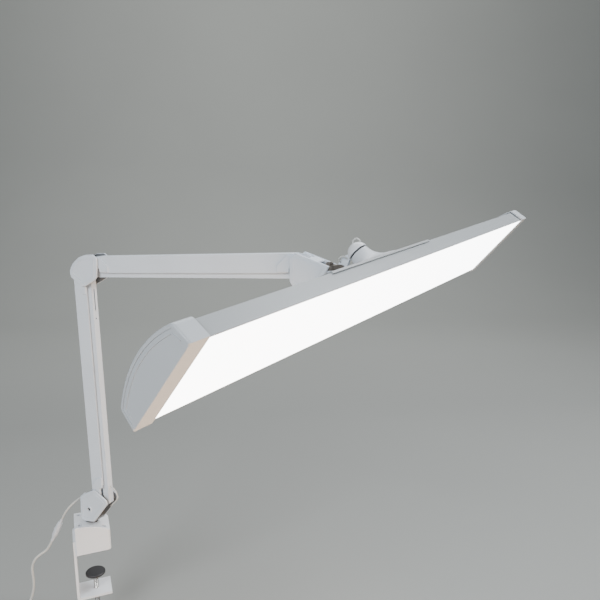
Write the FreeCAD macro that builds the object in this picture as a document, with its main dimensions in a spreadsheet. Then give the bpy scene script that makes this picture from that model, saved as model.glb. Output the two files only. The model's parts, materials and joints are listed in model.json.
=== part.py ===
import FreeCAD, Part
import math
import os
import PartDesign
import Sketcher
from FreeCAD import Placement, Rotation, Vector

# Clamp-on work lamp: a table clamp, a swivelling fork, two parallelogram arms and a long
# flat-faced LED head. +X runs into the table, +Z is up, and the origin lies on the table
# top under the swivel axis. The arms are drawn in a plane of their own (u outwards, t
# across, z up) and the head in its own frame (x along it, y across it, z out of its back).

DRIVING = {
    # table clamp
    "block_width": 54.6,
    "block_depth": 51.3,
    "block_left_height": 50.0,
    "block_crown_height": 47.5,
    "block_right_height": 36.5,
    "pad_sheet": 1.5,
    "strap": 4.0,
    "strap_width": 44.0,
    "strap_top": 26.0,
    "strap_drop": 82.0,
    "screw_radius": 4.0,
    "screw_tip_depth": 50.6,
    "screw_foot_depth": 124.0,
    "pad_radius": 16.0,
    "pad_depth": 48.0,
    # swivel and fork
    "post_radius": 8.0,
    "bush_radius": 11.0,
    "fork_foot_height": 50.6,
    "arm_yaw": 48.76,
    # layers of the arm plane, as distances from its middle
    "link_half": 5.0,
    "channel_half": 8.5,
    "knuckle_half": 9.9,
    "cheek_inner": 10.2,
    "cheek_outer": 11.2,
    "cover_outer": 13.2,
    # arms
    "channel_height": 24.4,
    "channel_wall": 1.6,
    "web_offset": 12.0,
    "link_offset": 14.0,
    "link_height": 12.0,
    "link_wall": 1.2,
    "main_pin": 3.0,
    "link_pin": 2.5,
    "lower_length": 370.0,
    "upper_length": 355.0,
    "lower_lean": 0.88,
    "upper_rise": 2.99,
    "base_u": 29.0,
    "base_z": 98.0,
    "elbow_u": 48.0,
    "elbow_z": 478.4,
    # head
    "head_length": 678.0,
    "head_half_width": 58.4,
    "cap_length": 18.8,
    "cap_proud": 2.6,
    "shell_wall": 1.8,
    "back_height": 33.7,
    "side_height": 21.0,
    "side_draft": 2.7,
    "ball_radius": 12.8,
    "ball_height": 61.4,
    "cover_plate": 1.6,
    "post_shaft": 5.0,
    # leads
    "lamp_lead": 3.0,
    "supply_lead": 4.0,
    "floor_drop": 140.0,
}

RUNNING = 0.05
CLEAR = 0.3

doc = FreeCAD.newDocument("desk_lamp")
sheet = doc.addObject("Spreadsheet::Sheet", "Sizes")
for row, (alias, value) in enumerate(DRIVING.items(), start=1):
    sheet.set(f"A{row}", alias)
    sheet.set(f"B{row}", str(value))
    sheet.setAlias(f"B{row}", alias)
doc.recompute()
PARTS = []


def size(alias):
    return float(sheet.get(alias))


def cell(alias):
    return f"Sizes.{alias}"


# ---- helpers -------------------------------------------------------------------------

def unit(vector):
    return vector * (1 / vector.Length)


def outline(points, radius=0.0):
    """Closed edges through the points; each corner is rounded by radius or by its own third value."""
    corners = [Vector(p[0], p[1], 0) for p in points]
    radii = [p[2] if len(p) > 2 else radius for p in points]
    edges = []
    cuts = []
    for i, corner in enumerate(corners):
        back = unit(corners[i - 1] - corner)
        ahead = unit(corners[(i + 1) % len(corners)] - corner)
        half = back.getAngle(ahead) / 2
        if radii[i] <= 0:
            cuts.append((corner, corner, None))
            continue
        reach = radii[i] / math.tan(half)
        middle = corner + unit(back + ahead) * (radii[i] / math.sin(half) - radii[i])
        cuts.append((corner + back * reach, corner + ahead * reach, middle))
    for i, (start, end, middle) in enumerate(cuts):
        if middle is not None:
            edges.append(Part.Arc(start, middle, end))
        following = cuts[(i + 1) % len(cuts)][0]
        if end.distanceToPoint(following) > 1e-6:
            edges.append(Part.LineSegment(end, following))
    return edges


def circle(x, y, radius):
    return [Part.Circle(Vector(x, y, 0), Vector(0, 0, 1), radius)]


def new_body(name, placement=None):
    body = doc.addObject("PartDesign::Body", name)
    body.Label = name
    if placement is not None:
        body.Placement = placement
    PARTS.append(body)
    return body


def sketch(body, name, role, edges, lift=None):
    """A sketch on one of the body's origin planes, lifted along the plane's normal."""
    made = body.newObject("Sketcher::SketchObject", name)
    plane = next(o for o in body.Origin.OriginFeatures if o.Role == role)
    made.AttachmentSupport = (plane, [""])
    made.MapMode = "FlatFace"
    if isinstance(lift, str):
        made.setExpression("AttachmentOffset.Base.z", lift)
    elif lift is not None:
        made.AttachmentOffset = Placement(Vector(0, 0, lift), Rotation())
    made.addGeometry(edges, False)
    return made


def pad(body, name, role, edges, length, lift=None, middle=False, back=False):
    """A pad of the outline; length is an expression or a number."""
    made = body.newObject("PartDesign::Pad", name)
    made.Profile = sketch(body, name + "_sketch", role, edges, lift)
    made.SideType = "Symmetric" if middle else "One side"
    made.Reversed = back
    bind_length(made, length)
    body.Tip = made
    return made


def pocket(body, name, role, edges, length, lift=None, middle=False, back=False):
    """A pocket of the outline; raises when it cuts nothing."""
    doc.recompute()
    before = body.Shape.Volume
    made = body.newObject("PartDesign::Pocket", name)
    made.Profile = sketch(body, name + "_sketch", role, edges, lift)
    made.SideType = "Symmetric" if middle else "One side"
    made.Reversed = back
    bind_length(made, length)
    body.Tip = made
    doc.recompute()
    if body.Shape.Volume > before - 0.01:
        raise ValueError(name + " cuts nothing")
    return made


def bind_length(feature, length):
    if isinstance(length, str):
        feature.setExpression("Length", length)
    else:
        feature.Length = length


def spin(body, name, edges, role="XZ_Plane"):
    """A full revolution of the outline about the body's vertical axis."""
    made = body.newObject("PartDesign::Revolution", name)
    made.Profile = sketch(body, name + "_sketch", role, edges)
    made.ReferenceAxis = (next(o for o in body.Origin.OriginFeatures if o.Role == "Z_Axis"), [""])
    made.Angle = 360
    body.Tip = made
    return made


def fillet(body, name, radius, chosen):
    """Rounds the edges of the body's last feature that the test picks."""
    doc.recompute()
    base = body.Tip
    names = [f"Edge{i}" for i, edge in enumerate(base.Shape.Edges, start=1) if chosen(edge)]
    if not names:
        raise ValueError(name + " finds no edge")
    made = body.newObject("PartDesign::Fillet", name)
    made.Base = (base, names)
    made.Radius = radius
    body.Tip = made
    return made


def feature(name, shape, placement=None):
    """A piece whose shape comes straight from Part functions."""
    made = doc.addObject("Part::Feature", name)
    made.Label = name
    made.Shape = shape
    if placement is not None:
        made.Placement = placement
    PARTS.append(made)
    return made


def rod(start, end, radius, inner=0.0):
    """A round bar, or a tube, from start to end."""
    axis = end - start
    bar = Part.makeCylinder(radius, axis.Length, start, axis)
    if inner > 0:
        bar = bar.cut(Part.makeCylinder(inner, axis.Length, start, axis))
    return bar


def fuse(shapes):
    joined = shapes[0].multiFuse(shapes[1:])
    return joined.removeSplitter()


def tube_route(points, radius):
    """Straight runs joined by tangent arcs, swept by a circle; returns solid, length and radii."""
    edges = []
    radii = []
    here = points[0]
    for i in range(1, len(points) - 1):
        back = points[i - 1] - points[i]
        ahead = points[i + 1] - points[i]
        turn = math.pi - back.getAngle(ahead)
        reach = 0.45 * min(back.Length, ahead.Length)
        bend = reach / math.tan(turn / 2)
        radii.append(bend)
        start = points[i] + unit(back) * reach
        end = points[i] + unit(ahead) * reach
        inward = unit(unit(back) + unit(ahead))
        middle = points[i] + inward * (bend / math.cos(turn / 2) - bend)
        edges.append(Part.LineSegment(here, start).toShape())
        edges.append(Part.Arc(start, middle, end).toShape())
        here = end
    edges.append(Part.LineSegment(here, points[-1]).toShape())
    wire = Part.Wire(edges)
    ring = Part.Wire([Part.Circle(points[0], unit(points[1] - points[0]), radius).toShape()])
    solid = wire.makePipeShell([ring], True, True)
    expected = math.pi * radius * radius * wire.Length
    if abs(solid.Volume - expected) > 0.01 * expected:
        raise ValueError("tube volume does not match its length")
    return solid, wire.Length, radii


def cord_piece(name, points, diameter, placement=None):
    solid, length, radii = tube_route(points, diameter / 2)
    print(f"{name}: length {length:.1f}, radii " + " ".join(f"{r:.1f}" for r in radii))
    return feature(name, solid, placement)


# ---- frames --------------------------------------------------------------------------

ARM = Placement(Vector(0, 0, 0), Rotation(Vector(0, 0, 1), -size("arm_yaw")))
HEAD = Placement(Vector(337.6, -393.0, 470.1), Rotation(30.1, -4.76, -47.0))


def along_bar(pivot, rise):
    """Frame of a bar: X along it from its first pivot, Z towards its closed side."""
    turned = Rotation(Vector(0, 1, 0), -rise)
    return ARM.multiply(Placement(Vector(pivot[0], 0, pivot[1]), turned))


LOWER_RISE = 90 + size("lower_lean")
UPPER_RISE = size("upper_rise")
FOOT = (size("base_u"), size("base_z"))
LOWER_BAR = along_bar(FOOT, LOWER_RISE)
UPPER_FOOT = (size("elbow_u"), size("elbow_z"))
UPPER_BAR = along_bar(UPPER_FOOT, UPPER_RISE)
LOWER_LINK_SHIFT = -5.5
UPPER_LINK_SHIFT = 0.0


def bar_point(pivot, rise, along, off):
    """A point given in a bar's frame, as (u, z) of the arm plane."""
    angle = math.radians(rise)
    u = pivot[0] + along * math.cos(angle) - off * math.sin(angle)
    z = pivot[1] + along * math.sin(angle) + off * math.cos(angle)
    return u, z


PIN_A = FOOT
PIN_B = bar_point(FOOT, LOWER_RISE, LOWER_LINK_SHIFT, -size("link_offset"))
PIN_C = bar_point(FOOT, LOWER_RISE, size("lower_length"), 0)
PIN_D = bar_point(PIN_C, LOWER_RISE, LOWER_LINK_SHIFT, -size("link_offset"))
PIN_E = UPPER_FOOT
PIN_G = bar_point(UPPER_FOOT, UPPER_RISE, UPPER_LINK_SHIFT, -size("link_offset"))
PIN_F = bar_point(UPPER_FOOT, UPPER_RISE, size("upper_length"), 0)
PIN_H = bar_point(PIN_F, UPPER_RISE, UPPER_LINK_SHIFT, -size("link_offset"))


# ---- table clamp ---------------------------------------------------------------------

SCREW_SPOTS = [(sx * 18.5, sy * 17.0) for sx in (-1, 1) for sy in (-1, 1)]


def crown(x):
    """Height of the block's curved top above the table."""
    left = Vector(-size("block_width") / 2, size("block_left_height"), 0)
    right = Vector(size("block_width") / 2, size("block_right_height"), 0)
    arc = Part.Arc(left, Vector(0, size("block_crown_height"), 0), right)
    upright = Part.Line(Vector(x, 0, 0), Vector(x, 1, 0))
    return max(hit.Y for hit in arc.intersect(upright))


def make_clamp_block():
    half = size("block_width") / 2
    low = size("pad_sheet")
    left = Vector(-half, size("block_left_height"), 0)
    right = Vector(half, size("block_right_height"), 0)
    edges = [
        Part.LineSegment(Vector(-half, low, 0), Vector(half, low, 0)),
        Part.LineSegment(Vector(half, low, 0), right),
        Part.Arc(right, Vector(0, size("block_crown_height"), 0), left),
        Part.LineSegment(left, Vector(-half, low, 0)),
    ]
    block = new_body("clamp_block")
    pad(block, "block_solid", "XZ_Plane", edges, cell("block_depth"), middle=True)

    def upright(edge):
        box = edge.BoundBox
        return box.ZLength > 20 and box.XLength < 0.1 and box.YLength < 0.1 and edge.CenterOfMass.x > 0
    fillet(block, "inner_corners", 5.0, upright)

    def outer_upright(edge):
        box = edge.BoundBox
        return box.ZLength > 40 and box.XLength < 0.1 and box.YLength < 0.1 and edge.CenterOfMass.x < 0
    fillet(block, "outer_corners", 1.5, outer_upright)
    fillet(block, "crown_edge", 0.8, lambda e: e.BoundBox.ZMin > 30)
    slot = outline([(-half - 5, 22), (21, 22), (21, 26), (-half - 5, 26)])
    pocket(block, "strap_slot", "XZ_Plane", slot, cell("strap_width"), middle=True)
    pocket(block, "bush_bore", "XY_Plane", circle(0, 0, size("bush_radius")), 70.0, lift=60.0)
    for i, (x, y) in enumerate(SCREW_SPOTS):
        top = crown(x)
        pocket(block, f"head_bore_{i}", "XY_Plane", circle(x, y, 3.6), top - 33.0 + 5, lift=top + 5)
        pocket(block, f"shank_bore_{i}", "XY_Plane", circle(x, y, 2.2), 14.0, lift=34.0)
    return block


def make_strap():
    half = size("block_width") / 2
    wall = size("strap")
    top = size("strap_top")
    drop = size("strap_drop")
    points = [
        (-half - wall, top, 3.5), (21, top), (21, top - wall), (-half, top - wall),
        (-half, -drop + wall, 1.5), (24, -drop + wall), (24, -drop), (-half - wall, -drop, 5.5),
    ]
    strap = new_body("c_bracket")
    pad(strap, "strap_solid", "XZ_Plane", outline(points), cell("strap_width"), middle=True)
    pad(strap, "nut_boss", "XY_Plane", circle(0, 0, 9.0), 6.0, lift=-drop - 6.0)
    pocket(strap, "screw_bore", "XY_Plane", circle(0, 0, size("screw_radius") + RUNNING), 20.0, lift=-drop + 10)
    pocket(strap, "bush_seat", "XY_Plane", circle(0, 0, size("bush_radius")), 10.0, lift=top + 3)
    for i, (x, y) in enumerate(SCREW_SPOTS):
        pocket(strap, f"tapped_hole_{i}", "XY_Plane", circle(x, y, 1.7), 10.0, lift=top + 3)
    return strap


def make_block_screws():
    screws = []
    for x, y in SCREW_SPOTS:
        seat = 33.0
        head = Part.makeCylinder(3.4, 3.2, Vector(x, y, seat))
        socket = outline([(1.55 * math.cos(math.radians(60 * k)), 1.55 * math.sin(math.radians(60 * k)))
                          for k in range(6)])
        hexagon = Part.Face(Part.Wire([e.toShape() for e in socket]))
        hexagon.translate(Vector(x, y, seat + 1.4))
        head = head.cut(hexagon.extrude(Vector(0, 0, 3)))
        shank = Part.makeCylinder(1.7, 12.0, Vector(x, y, seat - 12.0))
        screws.append(head.fuse(shank))
    feature("block_screws", Part.makeCompound(screws))


def make_jaw_pad():
    half_x = size("block_width") / 2 - 2
    half_y = size("block_depth") / 2 - 2
    points = [(-half_x, -half_y), (half_x, -half_y), (half_x, half_y), (-half_x, half_y)]
    jaw = new_body("jaw_pad")
    pad(jaw, "pad_solid", "XY_Plane", outline(points, 3.0), cell("pad_sheet"))


def make_swivel_bush():
    bush = new_body("swivel_bush")
    inner = size("post_radius") + RUNNING
    outer = size("bush_radius")
    top = size("fork_foot_height") - 0.6
    spin(bush, "bush_solid", outline([(inner, 14.0), (outer, 14.0), (outer, top, 0.6), (inner, top)]))


def make_pressure_pad():
    depth = size("pad_depth")
    inner = size("screw_radius") + RUNNING
    tip = size("screw_tip_depth")
    radius = size("pad_radius")
    points = [
        (0, -depth), (radius - 1, -depth), (radius, -depth - 1), (radius, -depth - 3.4), (9.0, -depth - 4.4),
        (7.0, -depth - 8.0), (inner, -depth - 8.0), (inner, -tip + 0.2), (0, -tip + 0.2),
    ]
    disc = new_body("pressure_pad")
    spin(disc, "pad_disc", outline(points))


def make_clamp_screw():
    radius = size("screw_radius")
    tip = -size("screw_tip_depth")
    foot = -size("screw_foot_depth")
    screw = new_body("clamp_screw")
    spin(screw, "screw_solid", outline([(0, tip), (radius - 0.8, tip), (radius, tip - 0.8), (radius, foot), (0, foot)]))


def make_clamp_knob():
    """A four-lobed knob moulded on the end of the clamp screw."""
    top = -size("screw_foot_depth")
    knob = new_body("clamp_knob")
    pad(knob, "knob_hub", "XY_Plane", circle(0, 0, 8.0), 12.0, lift=top - 12.0)
    for i in range(2):
        half_x, half_y = ((16.0, 4.2), (4.2, 16.0))[i]
        points = [(-half_x, -half_y), (half_x, -half_y), (half_x, half_y), (-half_x, half_y)]
        pad(knob, f"knob_wings_{i}", "XY_Plane", outline(points, 4.0), 9.0, lift=top - 11.0)


# ---- swivelling fork -----------------------------------------------------------------

FORK = [
    (24.4, 112.1, 4.0), (-7.4, 94.0, 3.0), (-10.1, 54.6, 6.0), (-2.3, 50.8, 5.0), (20.0, 54.6, 7.0),
    (52.4, 93.4, 5.0), (49.3, 99.5, 4.0),
]
FORK_BOLT = (11.4, 75.2)


def inset(points, step, radius_step=0.0):
    """The outline moved inwards by step, with its corner radii reduced."""
    flat = Part.Face(Part.Wire([e.toShape() for e in outline([(p[0], p[1], 0) for p in points])]))
    shrunk = flat.makeOffset2D(-step, join=2)
    wire = shrunk.OuterWire if hasattr(shrunk, "OuterWire") else shrunk.Wires[0]
    corners = [v.Point for v in wire.OrderedVertexes]
    matched = []
    for point in points:
        nearest = min(corners, key=lambda c: (c.x - point[0]) ** 2 + (c.y - point[1]) ** 2)
        matched.append((nearest.x, nearest.y, max(point[2] - radius_step, 0.4)))
    return matched


def cover(name, points, near, placement):
    """A side cover: a flat cap over a cheek, rounded at its rim."""
    thick = size("cover_outer") - size("cheek_outer")
    body = new_body(name, placement)
    if near:
        lift = cell("cheek_outer")
    else:
        lift = "-" + cell("cover_outer")
    pad(body, name + "_cap", "XZ_Plane", outline(points), thick, lift=lift)
    side = -1 if near else 1
    outer = side * size("cover_outer")
    fillet(body, name + "_rim", 1.4, lambda e: abs(e.CenterOfMass.y - outer) < 0.01)
    return body


def cheek_pair(body, name, points):
    thick = size("cheek_outer") - size("cheek_inner")
    pad(body, name + "_near", "XZ_Plane", outline(points), thick, lift=cell("cheek_inner"))
    pad(body, name + "_far", "XZ_Plane", outline(points), thick, lift="-" + cell("cheek_outer"))


def bridge(body, name, points):
    """A wall across the arm, between and just past the inner faces of the cheeks."""
    pad(body, name, "XZ_Plane", outline(points), "2 * " + cell("cheek_outer"), middle=True)


def pin_holes(body, pins):
    for i, (spot, radius) in enumerate(pins):
        pocket(body, f"pin_hole_{i}", "XZ_Plane", circle(spot[0], spot[1], radius), 40.0, middle=True)


def make_fork():
    inner = inset(FORK, 0.6, 0.4)
    frame = new_body("fork_frame", ARM)
    foot = [(-8.6, 55.4), (-3.0, size("fork_foot_height")), (17.5, size("fork_foot_height") + 1.6), (21.5, 58.0),
            (18.0, 62.0), (-8.4, 62.0)]
    bridge(frame, "foot_block", foot)
    bridge(frame, "back_wall", [(-9.2, 60.0), (-6.4, 60.0), (-4.2, 93.6), (-6.4, 92.4)])
    cheek_pair(frame, "cheek", inner)
    pin_holes(frame, [(PIN_A, size("main_pin")), (PIN_B, size("link_pin")), (FORK_BOLT, 4.2)])
    post = size("post_radius")
    pocket(frame, "post_seat", "XY_Plane", circle(0, 0, post), 8.0, lift=58.0)
    cover("fork_near_cover", FORK, True, ARM)
    cover("fork_far_cover", FORK, False, ARM)
    near = doc.getObject("fork_near_cover")
    pocket(near, "bolt_window", "XZ_Plane", circle(FORK_BOLT[0], FORK_BOLT[1], 4.2), 10.0, lift=20.0)
    doc.recompute()


def make_swivel_post():
    radius = size("post_radius")
    post = new_body("swivel_post")
    spin(post, "post_solid", outline([(0, 16.0), (radius, 16.0, 0.8), (radius, 58.0), (0, 58.0)]))


def make_fork_bolt():
    """The friction bolt across the fork: a flanged tube whose open mouth shows on the near side."""
    half = size("cover_outer")
    u, z = FORK_BOLT
    sleeve = rod(Vector(u, -half, z), Vector(u, size("cheek_outer"), z), 4.2)
    ring = rod(Vector(u, -half - 1.0, z), Vector(u, -half, z), 5.6)
    bolt = sleeve.fuse(ring).cut(rod(Vector(u, -half - 2, z), Vector(u, -4.0, z), 3.3))
    bolt = bolt.makeFillet(0.4, [e for e in bolt.Edges if abs(e.CenterOfMass.y + half + 1.0) < 0.01])
    feature("fork_bolt", bolt, ARM)


def pin_group(name, pins):
    half = size("cheek_outer") - 0.02
    shapes = [rod(Vector(s[0], -half, s[1]), Vector(s[0], half, s[1]), r) for s, r in pins]
    feature(name, Part.makeCompound(shapes), ARM)


# ---- arms ----------------------------------------------------------------------------

def make_channel(name, length, placement):
    """The main bar: a U-section with ears at both ends that carry the pivot holes."""
    web = size("web_offset")
    edge = web - size("channel_height")
    wall = size("channel_wall")
    ear = [
        (-8.0, -6.0, 5.5), (20.0, -6.0), (24.0, edge), (length - 24.0, edge), (length - 20.0, -6.0),
        (length + 8.0, -6.0, 5.5), (length + 8.0, 8.0, 7.5), (length - 14.0, web), (14.0, web), (-8.0, 8.0, 7.5),
    ]
    body = new_body(name, placement)
    pad(body, name + "_solid", "XZ_Plane", outline(ear), "2 * " + cell("channel_half"), middle=True)
    hollow = [(-20.0, -40.0), (length + 20.0, -40.0), (length + 20.0, web - wall), (-20.0, web - wall)]
    inside = 2 * (size("channel_half") - wall)
    pocket(body, name + "_hollow", "XZ_Plane", outline(hollow), inside, middle=True)
    for i, start in enumerate((-30.0, length - 13.0)):
        gap = [(start, web - wall - 1), (start + 43.0, web - wall - 1), (start + 43.0, web + 9), (start, web + 9)]
        pocket(body, f"{name}_mouth_{i}", "XZ_Plane", outline(gap), inside, middle=True)
    pocket(body, name + "_bores", "XZ_Plane",
           circle(0, 0, size("main_pin") + RUNNING) + circle(length, 0, size("main_pin") + RUNNING), 40.0, middle=True)
    return body


def make_knuckles(name, length, placement):
    """Bearing plates riveted on the outside of the bar's ears."""
    thick = size("knuckle_half") - size("channel_half")
    shapes = []
    for end in (0, 1):
        for side in (-1, 1):
            start = length * end
            way = 1 - 2 * end
            points = [(-8.0, -5.8, 5.0), (17.0, -5.8, 1.6), (18.5, -11.6, 1.6), (36.0, -11.6, 1.6), (35.6, -3.0, 8.0),
                      (19.0, 11.4, 3.0), (6.0, 9.6, 3.0), (-8.0, 8.0, 7.0)]
            points = [(start + way * p[0], p[1], p[2]) for p in points]
            face = Part.Face(Part.Wire([e.toShape() for e in outline(points)]))
            face.rotate(Vector(0, 0, 0), Vector(1, 0, 0), 90)
            inner = side * size("channel_half")
            face.translate(Vector(0, inner, 0))
            plate = face.extrude(Vector(0, side * thick, 0))
            bore = rod(Vector(start, -20, 0), Vector(start, 20, 0), size("main_pin") + RUNNING)
            plate = plate.cut(bore)
            outer = side * size("knuckle_half")
            rim = [e for e in plate.Edges if abs(e.CenterOfMass.y - outer) < 0.01 and e.Length > 0.3]
            shapes.append(plate.makeChamfer(0.8, rim))
    feature(name, Part.makeCompound(shapes), placement)


def make_link(name, length, shift, placement):
    """The slim bar that rides in the main bar's open side and keeps the joints parallel."""
    top = -size("link_offset") + 6.0
    low = top - size("link_height") + 0.6
    wall = size("link_wall")
    mid = -size("link_offset")
    near = shift - 5.2
    far = shift + length + 5.2
    points = [(near, mid + 5.2, 5.0), (shift + 8, mid + 5.2), (shift + 12, top), (far - 17.2, top),
              (far - 13.2, mid + 5.2), (far, mid + 5.2, 5.0), (far, low, 5.0), (near, low, 5.0)]
    body = new_body(name, placement)
    pad(body, name + "_solid", "XZ_Plane", outline(points), "2 * " + cell("link_half"), middle=True)
    hollow = [(near - 5, low + wall), (far + 5, low + wall), (far + 5, top + 9), (near - 5, top + 9)]
    pocket(body, name + "_hollow", "XZ_Plane", outline(hollow), 2 * (size("link_half") - wall), middle=True)
    first = size("link_pin") + RUNNING
    last = size("link_pin") + CLEAR
    pocket(body, name + "_bores", "XZ_Plane", circle(shift, mid, first) + circle(shift + length, mid, last), 40.0,
           middle=True)
    slot = outline([(length - 62, -1.0, 0.98), (length - 28, -1.0, 0.98), (length - 28, 1.0, 0.98),
                    (length - 62, 1.0, 0.98)])
    pocket(body, name + "_slot", "XY_Plane", slot + circle(length - 74.0, 0, 1.3), 4.0, lift=low - 2, back=True)
    return body


def make_spring(name, length, placement):
    """A close-wound extension spring with a loop at each end, hooked on posts of the bar."""
    radius = 4.2
    wire = 0.8
    off = 3.2
    start = length - 150.0
    end = start + 96.0
    turns = 60
    pitch = (end - start) / turns
    points = [(start, radius - 2 * wire)]
    for i in range(turns):
        points.append((start + i * pitch, radius - 0.35))
        points.append((start + (i + 0.5) * pitch, radius))
    points.append((end, radius - 0.35))
    points.append((end, radius - 2 * wire))
    points.append(points[0])
    ring = Part.makePolygon([Vector(x, 0, off + r) for x, r in points])
    coil = Part.Face(ring).revolve(Vector(0, 0, off), Vector(1, 0, 0), 360)
    loops = []
    for way, x in ((-1, start), (1, end)):
        middle = Vector(x + way * radius * 0.7, 0, off)
        loops.append(Part.makeTorus(radius - wire, wire, middle, Vector(0, 1, 0)))
    feature(name, coil.fuse(loops), placement)
    return start, end, off, radius


def make_spring_posts(name, start, end, off, radius, placement):
    """Cross pins between the bar's walls that the spring's loops hook over."""
    half = size("channel_half") - size("channel_wall")
    posts = []
    for way, x in ((-1, start), (1, end)):
        spot = x + way * (radius * 0.7 + radius - 2 * 0.8 - 1.3)
        posts.append(rod(Vector(spot, -half, off), Vector(spot, half, off), 1.2))
    feature(name, Part.makeCompound(posts), placement)


# ---- elbow and wrist -----------------------------------------------------------------

ELBOW = [
    (7.9, 466.5, 6.0), (14.3, 478.3, 20.0), (27.9, 488.8, 24.0), (42.7, 493.3, 30.0), (58.0, 494.2, 4.0),
    (65.5, 489.6, 4.0), (66.2, 483.7, 6.0), (63.4, 460.5, 3.5), (58.3, 455.7, 3.5), (38.0, 445.4, 3.5),
    (31.7, 445.0, 4.0), (10.4, 457.5, 5.0),
]
WRIST = [
    (387.2, 474.0, 6.0), (387.4, 501.9, 5.0), (397.1, 509.6, 3.0), (441.1, 495.3, 0.8), (436.0, 486.8, 3.0),
    (424.0, 470.5, 6.0), (404.0, 464.5, 6.0), (393.0, 466.0, 5.0),
]
PAN = 436.0
TILT = (452.5, 491.5)
BALL = HEAD.multVec(Vector(0, 0, size("ball_height")))


def ribbon(points, start, end, depth):
    """A strip of the given depth along the inside of the outline from corner start to corner end."""
    inner = inset(points, depth)
    outer_run = [points[i] for i in range(start, end + 1)]
    inner_run = [inner[i] for i in range(start, end + 1)]
    corners = [(p[0], p[1], 0) for p in outer_run] + [(p[0], p[1], 0) for p in reversed(inner_run)]
    return corners


def make_elbow():
    inner = inset(ELBOW, 0.6, 0.4)
    frame = new_body("elbow_frame", ARM)
    bridge(frame, "outer_wall", ribbon(inner, 1, 3, 1.6))
    cheek_pair(frame, "elbow_cheek", inner)
    pin_holes(frame, [(PIN_C, size("main_pin")), (PIN_D, size("link_pin")), (PIN_E, size("main_pin")),
                      (PIN_G, size("link_pin"))])
    cover("elbow_near_cover", ELBOW, True, ARM)
    cover("elbow_far_cover", ELBOW, False, ARM)
    pin_group("elbow_pins", [(PIN_C, size("main_pin")), (PIN_D, size("link_pin")), (PIN_E, size("main_pin")),
                             (PIN_G, size("link_pin"))])


def make_wrist():
    inner = inset(WRIST, 0.6, 0.4)
    frame = new_body("wrist_frame", ARM)
    slope = (inner[3][1] - inner[2][1]) / (inner[3][0] - inner[2][0])
    start_u = 412.0
    end_u = 425.0
    start_z = inner[2][1] + slope * (start_u - inner[2][0])
    end_z = inner[2][1] + slope * (end_u - inner[2][0])
    roof = [(start_u, start_z), (end_u, end_z), (end_u, end_z - 1.6), (start_u, start_z - 1.6)]
    bridge(frame, "roof", roof)
    shelf = [(420.5, 484.0), (423.0, 485.5), (431.0, 485.5), (433.0, 489.5), (421.5, 489.5)]
    bridge(frame, "hinge_shelf", shelf)
    pad(frame, "hinge_tongue", "XY_Plane", circle(PAN, 0, 9.9), 4.0, lift=485.5)
    cheek_pair(frame, "wrist_cheek", inner)
    pin_holes(frame, [(PIN_F, size("main_pin")), (PIN_H, size("link_pin"))])
    pocket(frame, "pan_bore", "XY_Plane", circle(PAN, 0, 3.0 + RUNNING), 12.0, lift=492.0)
    cover("wrist_near_cover", WRIST, True, ARM)
    cover("wrist_far_cover", WRIST, False, ARM)
    pin_group("wrist_pins", [(PIN_F, size("main_pin")), (PIN_H, size("link_pin"))])


# ---- neck ----------------------------------------------------------------------------

def make_pan_hub():
    """The disc that turns on the wrist's tongue, with two ears for the tilt pin."""
    hub = new_body("pan_hub", ARM)
    pad(hub, "hub_disc", "XY_Plane", circle(PAN, 0, 9.7), 3.4, lift=490.9)
    ear = [(PAN + 3.0, 490.9), (TILT[0] - 3.0, 485.9), (TILT[0] + 5.6, 485.9, 5.4), (TILT[0] + 5.6, 497.1, 5.4),
           (TILT[0] - 3.0, 497.1, 3.0), (PAN + 3.0, 494.3)]
    pad(hub, "ears", "XZ_Plane", outline(ear), 12.4, middle=True)
    slot = [(PAN + 10.0, 480.0), (TILT[0] + 20.0, 480.0), (TILT[0] + 20.0, 510.0), (PAN + 10.0, 510.0)]
    pocket(hub, "ear_slot", "XZ_Plane", outline(slot), 6.4, middle=True)
    pocket(hub, "tongue_room", "XY_Plane", circle(PAN, 0, 10.2), 10.0, lift=490.9)
    pocket(hub, "washer_room", "XY_Plane", circle(PAN, 0, 10.1), 12.0, lift=506.3)
    pocket(hub, "tilt_bore", "XZ_Plane", circle(TILT[0], TILT[1], 2.5), 40.0, middle=True)
    pocket(hub, "pan_bore", "XY_Plane", circle(PAN, 0, 3.0 + RUNNING), 12.0, lift=500.0)


def make_pan_fasteners():
    washers = []
    for low, high in ((484.4, 485.4), (489.6, 490.8), (494.4, 495.4)):
        washers.append(rod(Vector(PAN, 0, low), Vector(PAN, 0, high), 9.8, 3.0 + RUNNING))
    feature("pan_washers", Part.makeCompound(washers), ARM)
    shank = rod(Vector(PAN, 0, 481.0), Vector(PAN, 0, 499.2), 3.0)
    head = hexagon(PAN, 0, 5.6, 480.4, 484.3)
    nut = hexagon(PAN, 0, 5.2, 495.5, 498.4)
    feature("pan_bolt", fuse([shank, head, nut]), ARM)


def hexagon(x, y, radius, low, high):
    corners = [Vector(x + radius * math.cos(math.radians(60 * k)), y + radius * math.sin(math.radians(60 * k)), low)
               for k in range(7)]
    return Part.Face(Part.makePolygon(corners)).extrude(Vector(0, 0, high - low))


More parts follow.
